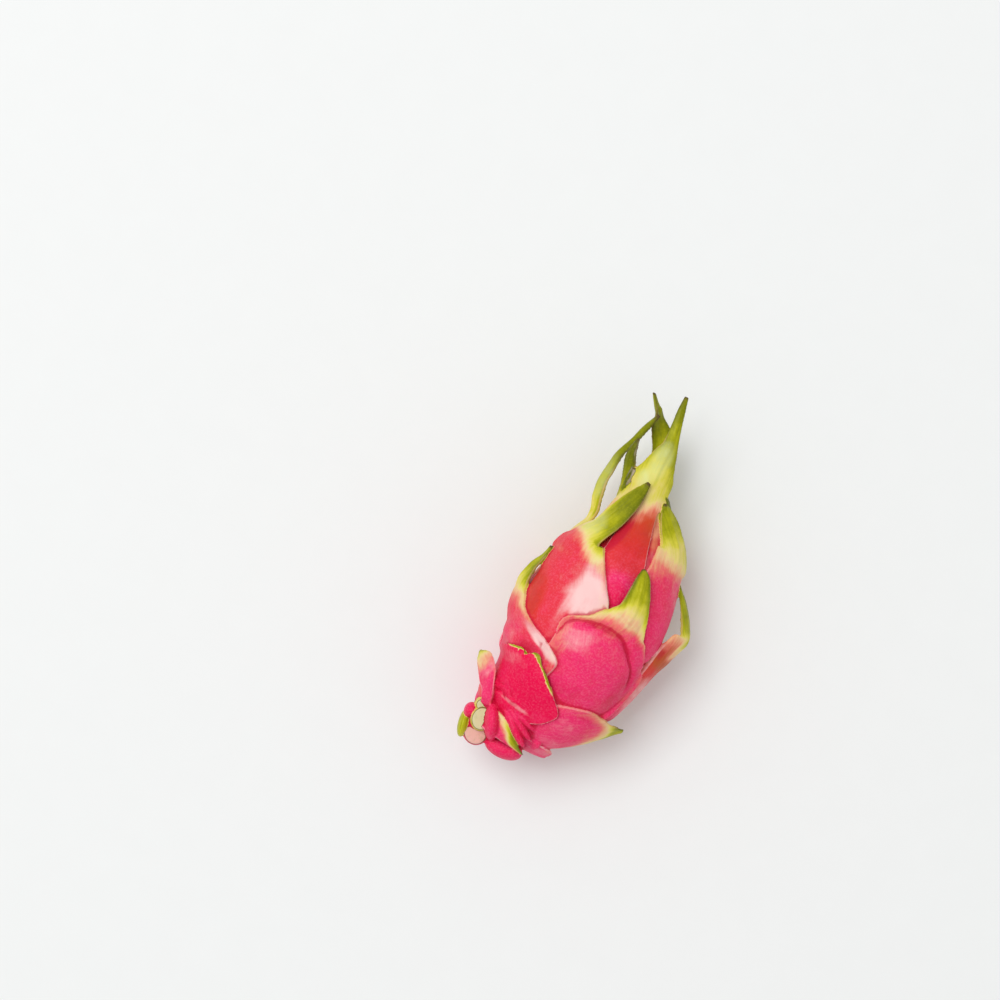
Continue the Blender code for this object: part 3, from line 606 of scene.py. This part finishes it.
def under_scales():
    """The scales of the underside, placed by their rule, each with its colour."""
    for index in reversed(range(UNDER_COUNT)):
        start = UNDER_START + UNDER_STEP * index
        length = min(UNDER_LENGTH, UNDER_END - start)
        around = 180 + UNDER_TURN * ((2 * index) % 3 - 1)
        half = UNDER_WIDTH * float(axis_at(np.array(start + UNDER_WIDEST))[3])
        rows = tuple((start + share * length, around, width * half, height, 0)
                     for share, width, height in UNDER_SHAPE)
        coral = start / UNDER_CORAL
        places = [share * length for share in UNDER_TURNING]
        yield Scale(f"under_{index}", 5.5, rows), Colour(coral, coral + 0.1, *places, 0.95)


def get_points(obj):
    """The object's vertices as an array."""
    flat = np.empty(len(obj.data.vertices) * 3)
    obj.data.vertices.foreach_get("co", flat)
    return flat.reshape(-1, 3)


def set_points(obj, points):
    """Move the object's vertices to points given in millimetres, about the row's origin."""
    obj.data.vertices.foreach_set("co", ((points - ORIGIN) * MM).astype(np.float32).ravel())
    obj.data.update()


def set_attribute(obj, name, values):
    """Keep one number, or one vector, for each vertex."""
    kind, field = ("FLOAT", "value") if values.ndim == 1 else ("FLOAT_VECTOR", "vector")
    layer = obj.data.attributes.new(name, kind, "POINT")
    layer.data.foreach_set(field, values.astype(np.float32).ravel())


def select_only(*objects):
    """Select these and nothing else, and work on the first."""
    bpy.ops.object.select_all(action="DESELECT")
    for obj in objects:
        obj.select_set(True)
    bpy.context.view_layer.objects.active = objects[0]


def finish_with(obj, kind, **settings):
    """Add a modifier and apply it."""
    select_only(obj)
    modifier = obj.modifiers.new(kind.lower(), kind)
    for setting, value in settings.items():
        setattr(modifier, setting, value)
    bpy.ops.object.modifier_apply(modifier=modifier.name)


def face_outwards(obj):
    """Merge what lies together and point all faces outwards."""
    select_only(obj)
    bpy.ops.object.mode_set(mode="EDIT")
    bpy.ops.mesh.select_all(action="SELECT")
    bpy.ops.mesh.remove_doubles(threshold=0.01 * MM)
    bpy.ops.mesh.normals_make_consistent(inside=False)
    bpy.ops.object.mode_set(mode="OBJECT")


def keep_traits(obj, **traits):
    """Note on each vertex what the peel's finish needs to know, the same for all or one each."""
    for name, size in TRAITS.items():
        value = np.asarray(traits.get(name, 0.0), float)
        count = len(obj.data.vertices)
        set_attribute(obj, name, np.broadcast_to(value, (count, 3) if size == 3 else count))


def make_bare_fruit():
    """The rounded fruit under the scales: a ball whose rings are moved along the axis."""
    bpy.ops.mesh.primitive_uv_sphere_add(segments=BARE_SEGMENTS, ring_count=BARE_RINGS, radius=1.0)
    obj = bpy.context.object
    obj.name = "bare_fruit"
    unit = get_points(obj)
    angle = np.arctan2(unit[:, 1], unit[:, 0])
    share = np.arcsin(np.clip(unit[:, 2], -1.0, 1.0)) / math.pi + 0.5
    share = share - RING_CROWDING * np.sin(2 * math.pi * share) / (2 * math.pi)
    along = STEM_END + (CROWN_END - STEM_END) * share
    centre, side, up, radius = axis_at(along)
    closing = np.clip(np.minimum(along - STEM_END, CROWN_END - along) / END_ROUNDING, 0.0, 1.0)
    radius = (radius * np.sqrt(1 - (1 - closing) ** 2))[:, None]
    set_points(obj, centre + radius * (np.cos(angle)[:, None] * up + np.sin(angle)[:, None] * side))
    grain = np.stack([along, np.degrees(angle) / 2, np.zeros(len(along))], -1)
    keep_traits(obj, coral=np.clip(along / ALL_CORAL, 0, 1), ripe=-1.0, rim=NO_RIM, grain=grain)
    return obj


def make_scale(scale, colour, number, layers):
    """A flat grid given a thickness, then laid on the fruit by the scale's rows."""
    bpy.ops.mesh.primitive_grid_add(
        x_subdivisions=ROW_STEPS * (len(scale.rows) - 1), y_subdivisions=ACROSS_STEPS, size=2.0)
    obj = bpy.context.object
    obj.name = scale.name
    finish_with(obj, "SOLIDIFY", thickness=1.0, offset=-1.0)
    unit = get_points(obj)
    share, across, depth = (unit[:, 0] + 1) / 2, unit[:, 1], -unit[:, 2]
    points, sideways, half = scale_points(scale, share, across, depth, layers)
    set_points(obj, points)
    length = length_from_foot(scale, share)
    rim = half - np.abs(sideways) + ease(*NARROW, half)
    band = colour.edge * ease(*BAND_RIM, rim) * ease(*BAND_FROM, length)
    turned = (FOOT_COLOUR, max(colour.pale, FOOT_COLOUR + 1))
    traits = {
        "coral": np.interp(length, turned, (colour.foot, colour.middle)),
        "ripe": ripeness(colour, length, across) + band,
        "bloom": np.zeros(len(share))}
    for patch in PATCHES.get(scale.name, ()):
        traits[patch.trait] = traits[patch.trait] + blotch(patch, points)
    grain = np.stack([length, sideways, np.full(len(share), number * GRAIN_APART)], -1)
    keep_traits(obj, rim=rim, inner=depth, tip=share, grain=grain, **traits)
    face_outwards(obj)
    return obj


def make_lobe(lobe, number):
    """A lump at the stem: a ball drawn out and turned, some with the top cut off flat."""
    bpy.ops.mesh.primitive_uv_sphere_add(segments=LOBE_SEGMENTS, ring_count=LOBE_RINGS, radius=1.0)
    obj = bpy.context.object
    obj.name = lobe.name
    unit = get_points(obj)
    flesh = np.clip((unit[:, 2] - lobe.cut) / CUT_SOFTNESS + 1.0, 0, 1) if lobe.cut < 1 else 0.0
    unit[:, 2] = np.minimum(unit[:, 2], lobe.cut)
    turn = np.array(Matrix.Rotation(math.radians(lobe.turn), 3, "Z"))
    set_points(obj, (unit * lobe.radii) @ turn.T + lobe.centre)
    grain = np.stack([unit[:, 1] * 5, unit[:, 0] * 5, np.full(len(unit), number * GRAIN_APART)], -1)
    keep_traits(obj, coral=LOBE_CORAL, ripe=lobe.ripe, rim=NO_RIM, flesh=flesh, grain=grain)
    return obj


def corner_weights(a, b, c, place):
    """How much each corner of a triangle counts at a place on it."""
    v0, v1, v2 = b - a, c - a, place - a
    d00, d01, d11 = (v0 * v0).sum(-1), (v0 * v1).sum(-1), (v1 * v1).sum(-1)
    d20, d21 = (v2 * v0).sum(-1), (v2 * v1).sum(-1)
    size = np.maximum(d00 * d11 - d01 * d01, 1e-24)
    second = np.clip((d11 * d20 - d01 * d21) / size, 0, 1)
    third = np.clip((d00 * d21 - d01 * d20) / size, 0, 1)
    return np.stack([1 - second - third, second, third], -1)


def carry_traits(skin, pieces):
    """Give each vertex of the fused skin the traits of the nearest place on the pieces."""
    corners, faces = [], []
    total = 0
    for piece in pieces:
        mesh = piece.data
        mesh.calc_loop_triangles()
        triangles = np.empty(len(mesh.loop_triangles) * 3, np.int64)
        mesh.loop_triangles.foreach_get("vertices", triangles)
        faces.append(triangles.reshape(-1, 3) + total)
        corners.append(get_points(piece))
        total += len(mesh.vertices)
    corners, faces = np.concatenate(corners), np.concatenate(faces)
    tree = BVHTree.FromPolygons(corners.tolist(), faces.tolist(), all_triangles=True)
    hits = [tree.find_nearest(vertex.co) for vertex in skin.data.vertices]
    chosen = faces[[hit[2] for hit in hits]]
    place = np.array([hit[0] for hit in hits])
    weights = corner_weights(*(corners[chosen[:, corner]] for corner in range(3)), place)
    for name, size in TRAITS.items():
        values = []
        for piece in pieces:
            flat = np.empty(len(piece.data.vertices) * size)
            piece.data.attributes[name].data.foreach_get("value" if size == 1 else "vector", flat)
            values.append(flat.reshape(-1, size))
        values = np.concatenate(values)
        carried = (values[chosen] * weights[..., None]).sum(1)
        set_attribute(skin, name, carried[:, 0] if size == 1 else carried)


def soften(values, edges, times):
    """Average values with those of their neighbours along the edges, some times over."""
    first, second = edges
    count = 1.0 + np.bincount(first, minlength=len(values)) + np.bincount(second, minlength=len(values))
    for _ in range(times):
        total = values.copy()
        for part in range(values.shape[1]):
            total[:, part] += np.bincount(first, values[second, part], len(values))
            total[:, part] += np.bincount(second, values[first, part], len(values))
        values = total / count[:, None]
    return values


def note_hollows(skin):
    """Note how deep in a crease, or how high on a ridge, each vertex lies, in millimetres."""
    mesh = skin.data
    edges = np.empty(len(mesh.edges) * 2, np.int64)
    mesh.edges.foreach_get("vertices", edges)
    edges = edges.reshape(-1, 2).T
    normals = np.empty(len(mesh.vertices) * 3)
    mesh.vertices.foreach_get("normal", normals)
    points = get_points(skin)
    smooth = soften(points, edges, HOLLOW_REACH)
    depth = ((smooth - points) * normals.reshape(-1, 3)).sum(-1) / MM
    set_attribute(skin, "hollow", soften(depth[:, None], edges, HOLLOW_BLUR)[:, 0])


def fuse(pieces):
    """One fine skin round copies of the pieces."""
    copies = []
    for piece in pieces:
        copy = piece.copy()
        copy.data = piece.data.copy()
        bpy.context.scene.collection.objects.link(copy)
        copies.append(copy)
    select_only(*copies)
    bpy.ops.object.join()
    skin = bpy.context.object
    skin.name = "peel"
    finish_with(skin, "REMESH", mode="VOXEL", voxel_size=FUSE_VOXEL * MM)
    finish_with(skin, "SMOOTH", factor=0.5, iterations=3)
    return skin


def flatten_rest(skin):
    """Press the underside flat where the fruit lies."""
    points = get_points(skin)
    points[:, 2] = np.maximum(points[:, 2], 0.0)
    skin.data.vertices.foreach_set("co", points.astype(np.float32).ravel())
    skin.data.update()


def make_fruit():
    """Grow the fruit, its scales and the cut stem, fuse them, cut the pit, and note the traits."""
    grown = list(under_scales()) + [(scale, COLOURS[scale.name]) for scale in SCALES]
    pieces = [make_bare_fruit()]
    layers = Layers()
    for number, (scale, colour) in enumerate(grown, start=1):
        pieces.append(make_scale(scale, colour, number, layers))
    for number, lobe in enumerate(LOBES, start=len(pieces)):
        pieces.append(make_lobe(lobe, number))
    skin = fuse(pieces)
    pit = make_pit()
    finish_with(skin, "BOOLEAN", operation="DIFFERENCE", solver="MANIFOLD", object=pit)
    bpy.data.objects.remove(pit)
    count = sum(len(face.vertices) - 2 for face in skin.data.polygons)
    finish_with(skin, "DECIMATE", ratio=min(1.0, MOST_TRIANGLES / count))
    flatten_rest(skin)
    carry_traits(skin, pieces)
    note_hollows(skin)
    for piece in pieces:
        bpy.data.objects.remove(piece)
    select_only(skin)
    bpy.ops.object.shade_smooth()
    return skin


class Wire:
    """A socket of a material, with Python's operators adding the Math nodes between."""

    def __init__(self, finish, socket):
        self.finish, self.socket = finish, socket

    def maths(self, operation, *values):
        """A Math node on some values."""
        return self.finish.add("ShaderNodeMath", {"operation": operation}, dict(enumerate(values)))

    def __add__(self, other):
        return self.maths("ADD", self, other)

    def __sub__(self, other):
        return self.maths("SUBTRACT", self, other)

    def __rsub__(self, other):
        return self.maths("SUBTRACT", other, self)

    def __mul__(self, other):
        return self.maths("MULTIPLY", self, other)

    __radd__, __rmul__ = __add__, __mul__

    def rise(self, start, end):
        """0 before start, 1 after end, and a smooth rise between."""
        return self.finish.add("ShaderNodeMapRange", {"interpolation_type": "SMOOTHSTEP"},
                               {0: self, 1: start, 2: end})


class Finish:
    """A material built from nodes, with its Principled shader ready."""

    def __init__(self, name, **constants):
        self.material = bpy.data.materials.new(name)
        self.material.use_nodes = True
        self.tree = self.material.node_tree
        self.shader = self.tree.nodes["Principled BSDF"]
        for socket, value in constants.items():
            self.shader.inputs[socket.replace("_", " ")].default_value = value

    def add(self, kind, settings=None, sockets=None, out=0):
        """Add a node: its settings are set first, then its sockets get values or links."""
        node = self.tree.nodes.new(kind)
        for name, value in (settings or {}).items():
            if name == "stops":
                self.set_stops(node.color_ramp, value)
            else:
                setattr(node, name, value)
        for name, value in (sockets or {}).items():
            self.feed(node.inputs[name], value)
        return Wire(self, node.outputs[out])

    def set_stops(self, ramp, stops):
        """Set a new ramp's two stops, and add those between."""
        for element, (place, colour) in zip(ramp.elements, (stops[0], stops[-1])):
            element.position = place
            element.color = (*colour, 1.0)
        for place, colour in stops[1:-1]:
            ramp.elements.new(place).color = (*colour, 1.0)

    def feed(self, socket, value):
        """Link a wire to a socket, or set the socket to a value."""
        if isinstance(value, Wire):
            self.tree.links.new(value.socket, socket)
        elif isinstance(value, tuple) and len(value) == 3 and socket.type == "RGBA":
            socket.default_value = (*value, 1.0)
        else:
            socket.default_value = value

    def trait(self, name, out="Fac"):
        """What is noted on the mesh under a name."""
        return self.add("ShaderNodeAttribute", {"attribute_name": name}, out=out)

    def mix(self, share, first, second):
        """The first colour turned into the second by a share."""
        return self.add("ShaderNodeMix", {"data_type": "RGBA"}, {0: share, 6: first, 7: second}, 2)

    def ramp(self, value, limits, colours):
        """Colours by a value, for values between two limits."""
        start, end = limits
        stops = [((place - start) / (end - start), colour) for place, colour in colours]
        share = (value - start) * (1 / (end - start))
        return self.add("ShaderNodeValToRGB", {"stops": stops}, {"Fac": share})

    def noise(self, place, scale, detail=3.0, roughness=0.55):
        """A cloudy pattern between 0 and 1, about 0.5."""
        return self.add("ShaderNodeTexNoise", {}, {
            "Vector": place, "Scale": scale, "Detail": detail, "Roughness": roughness})

    def drawn_out(self, name, stretch):
        """Where a place lies on its scale, stretched so that noise runs along it in streaks."""
        return self.add("ShaderNodeVectorMath", {"operation": "MULTIPLY"},
                        {0: self.trait(name, "Vector"), 1: stretch})

    def bumps(self, height, strength, depth):
        """Small bumps in the surface, as deep as this in metres."""
        return self.add("ShaderNodeBump", {}, {
            "Strength": strength, "Distance": depth, "Height": height})

    def end(self, socket, wire):
        """Feed the shader."""
        self.feed(self.shader.inputs[socket], wire)


def peel_finish():
    """Waxy peel: pink to coral feet, yellow and green blades, dry tips, and cut stem."""
    finish = Finish("waxy_peel", IOR=1.4, Specular_IOR_Level=0.2)
    coral, ripe, rim, inner, flesh, tip, bloom, hollow = (finish.trait(name) for name in (
        "coral", "ripe", "rim", "inner", "flesh", "tip", "bloom", "hollow"))
    place = finish.add("ShaderNodeTexCoord", out="Object")
    streaks = finish.noise(finish.drawn_out("grain", (0.11, 0.8, 1.0)), 1.0, 4.0) - 0.5
    clouds = finish.noise(place, CLOUDS, 3.0) - 0.5
    mottles = finish.noise(place, MOTTLES, 4.0, 0.6) - 0.5
    speckle = finish.noise(place, SPECKLE, 2.0, 0.6)
    grit = finish.noise(place, GRIT, 4.0, 0.65)

    # How ripe each place looks, how pale with wax and painted sheen, and how dark with painted shade,
    # with ragged limits
    turning = ripe + streaks * 0.45 + clouds * 0.6 + mottles * 0.3
    pale = (bloom + clouds * 0.5 + mottles * 0.5 + streaks * 0.3).rise(0.1, 1.0)
    painted_shade_and_mottles = (0 - bloom + clouds * 0.6 + mottles * 0.6).rise(0.0, 1.0)

    # The pink feet
    pink = finish.ramp(coral + clouds * 0.7 + mottles * 0.3, PINK_RANGE, PINKS)
    rosy = coral.rise(-1.1, 0.0) * coral.rise(1.5, 0.2)
    pink = finish.mix(speckle.rise(0.40, 0.70) * rosy * 0.26, pink, PINK_SPECKLE)
    pink = finish.mix(grit.rise(0.5, 0.8) * 0.3, pink, DEEP_PINK_AND_SHADE)
    # Pale wax mixed with painted sheen and highlights
    pink = finish.mix(pale * 0.95, pink, PALE_WAX_AND_SHEEN)
    # Painted shade where the blotches fall below 0, with random darker mottles
    pink = finish.mix(painted_shade_and_mottles * 0.75, pink, DEEP_PINK_AND_SHADE)

    # The yellow and green blades, and where feet turn into them
    blade = finish.ramp(turning, RIPE_RANGE, RIPE)
    blade = finish.mix(speckle.rise(0.45, 0.75) * 0.14, blade, LIME_SPECKLE)
    # Pale wax and painted sheen on the blades
    blade = finish.mix(pale * 0.7, blade, PALE_LIME)
    peel = finish.mix(turning.rise(-0.8, -0.25), pink, blade)

    # Painted shade in the creases of pink parts, pale or tan rims, and dry tips and ridges
    deep = hollow.rise(0.02, 0.25) * (1 - turning.rise(-0.4, 0.3))
    peel = finish.mix(deep * 0.75, peel, DEEP_PINK_AND_SHADE)
    edge = rim.rise(0.75, 0.1) * grit * (1 - inner)
    peel = finish.mix(edge * turning.rise(-0.8, 0.0), peel, RIM)
    peel = finish.mix(edge * turning.rise(-0.3, -0.8), peel, PALE_WAX_AND_SHEEN)
    dry = (tip + grit * 0.05).rise(0.995, 1.03)
    dry = dry + (0 - hollow).rise(0.25, 0.5) * turning.rise(0.5, 1.2) * 0.5
    peel = finish.mix(dry, peel, DRY_BROWN)

    # The stem's cut faces, with a dry ring round each
    cut = finish.mix(ripe.rise(-0.6, 0.0), CUT_PEEL, CUT_FLESH)
    cut = finish.mix(grit.rise(0.45, 0.75) * 0.5, cut, CUT_THREADS)
    cut = finish.mix((1 - flesh).rise(0.15, 0.6), cut, DRY_BROWN)
    peel = finish.mix(flesh.rise(0.1, 0.3), peel, cut)
    finish.end("Base Color", peel)
    finish.end("Roughness", 0.36 + grit * 0.16 + dry * 0.3 + flesh * 0.25)
    finish.end("Normal", finish.bumps(speckle * 0.5 + grit, 0.25, 0.35 * MM))
    return finish.material


def turned_form(name, outline, segments, rings):
    """A ball to be moved to an outline turned about the crown's own axis."""
    bpy.ops.mesh.primitive_uv_sphere_add(segments=segments, ring_count=rings, radius=1.0)
    obj = bpy.context.object
    obj.name = name
    unit = get_points(obj)
    angle = np.arctan2(unit[:, 1], unit[:, 0])
    share = 0.5 + np.arcsin(np.clip(unit[:, 2], -1, 1)) / math.pi
    knots = np.linspace(0, 1, len(outline))
    radius, height = np.moveaxis(cubic_through(knots, outline, share, False), -1, 0)
    return obj, angle, share, radius, height


def stand_in_crown(obj, angle, radius, height):
    """Move a turned form's vertices to its place among the crown's scales."""
    centre, side, up, _ = axis_at(np.array(FLOWER_PLACE))
    forward = np.cross(up, side)
    set_points(obj, centre - FLOWER_OFFSET * side + (radius * np.cos(angle))[:, None] * side
               - (radius * np.sin(angle))[:, None] * up + height[:, None] * forward)
    face_outwards(obj)


def make_pit():
    """The hollow that the dried flower stands in, a little wider than it."""
    pit, angle, _, radius, height = turned_form("flower_pit", PIT_OUTLINE, segments=64, rings=56)
    stand_in_crown(pit, angle, radius, height)
    return pit


def make_dried_flower():
    """The dried flower: a turned stub, pleated into papery petals with a torn, open top."""
    obj, angle, share, radius, height = turned_form(
        "papery_flower", FLOWER_OUTLINE, segments=192, rings=120)
    upper = ease(2.0, 12.0, height)
    wander = angle + 0.10 * np.sin(height * 0.5) + 0.06 * np.sin(3 * angle + height * 0.3)
    pleats = PLEAT_DEPTH * (0.5 - 0.5 * np.cos(FLOWER_PLEATS * angle))
    pleats += FOLD_DEPTH * np.abs(np.sin(FLOWER_FOLDS * wander))
    creases = 0.02 * np.sin(41 * angle + 1.7 * np.sin(height)) + 0.03 * np.sin(height * 1.7 + 5 * angle)
    radius = radius * (1 - pleats - upper * np.abs(creases))
    torn = ease(0.62, 0.8, share)
    height = height - torn * (1.3 + 1.3 * np.sin(5 * angle + 1) * np.sin(13 * angle))
    set_attribute(obj, "grain", np.stack([height, angle * 6, pleats * 10], -1))
    stand_in_crown(obj, angle, radius, height)
    bpy.ops.object.shade_smooth()
    return obj


def flower_finish():
    """Dry brown paper with darker veins and pale worn folds."""
    finish = Finish("dried_paper", IOR=1.35)
    place = finish.add("ShaderNodeTexCoord", out="Object")
    veins = finish.noise(finish.drawn_out("grain", (0.15, 1.2, 0.4)), 1.6, 5.0, 0.7)
    blotches = finish.noise(place, 260.0, 4.0)
    finish.end("Base Color", finish.ramp(veins * 0.65 + blotches * 0.35, (0.0, 1.0), FLOWER_BROWNS))
    finish.end("Roughness", 0.72 + veins * 0.2)
    finish.end("Normal", finish.bumps(veins, 0.6, 0.4 * MM))
    return finish.material


def make_stage():
    """A pale floor, one large soft light from the upper left, and an even pale surround."""
    bpy.ops.mesh.primitive_plane_add(size=6.0, location=(0, 0, 0))
    floor = bpy.context.object
    floor.name = "pale_floor"
    paper = Finish("pale_floor", Roughness=0.9)
    place = paper.add("ShaderNodeTexCoord", out="Object")
    fibres = paper.noise(place, 60.0, 4.0)
    paper.end("Base Color", paper.mix(fibres, *FLOOR_GREYS))
    floor.data.materials.append(paper.material)

    turn = Matrix.Rotation(math.radians(CAMERA_TURN), 3, "Z")
    light = bpy.data.objects.new("soft_box", bpy.data.lights.new("soft_box", "AREA"))
    bpy.context.scene.collection.objects.link(light)
    light.data.shape = "SQUARE"
    light.data.size = KEY_SIZE
    light.data.energy = KEY_ENERGY
    light.location = turn @ Vector(KEY_PLACE)
    light.rotation_mode = "QUATERNION"
    light.rotation_quaternion = (-light.location).to_track_quat("-Z", "Y")

    world = bpy.data.worlds.new("even_surround")
    world.use_nodes = True
    background = world.node_tree.nodes["Background"].inputs
    background["Color"].default_value = (1.0, 1.0, 1.0, 1.0)
    background["Strength"].default_value = SURROUND
    world.cycles_visibility.glossy = False
    bpy.context.scene.world = world
    bpy.context.scene.view_settings.view_transform = "Standard"


def make_camera():
    """The photo's camera."""
    camera = bpy.data.objects.new("camera", bpy.data.cameras.new("camera"))
    bpy.context.scene.collection.objects.link(camera)
    camera.data.lens = LENS
    camera.data.sensor_width = SENSOR
    camera.location = CAMERA_PLACE
    camera.rotation_euler = (0.0, 0.0, math.radians(CAMERA_TURN))
    bpy.context.scene.camera = camera


def main():
    """Set the stage, and make and dress both pieces in place of their solids."""
    bpy.ops.object.select_all(action="DESELECT")
    make_camera()
    make_stage()
    for make, finish, node in (
            (make_fruit, peel_finish, "fruit"),
            (make_dried_flower, flower_finish, "dried_flower")):
        piece = make()
        piece.data.materials.clear()
        piece.data.materials.append(finish())
        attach(piece, "root")
        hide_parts(node)


main()
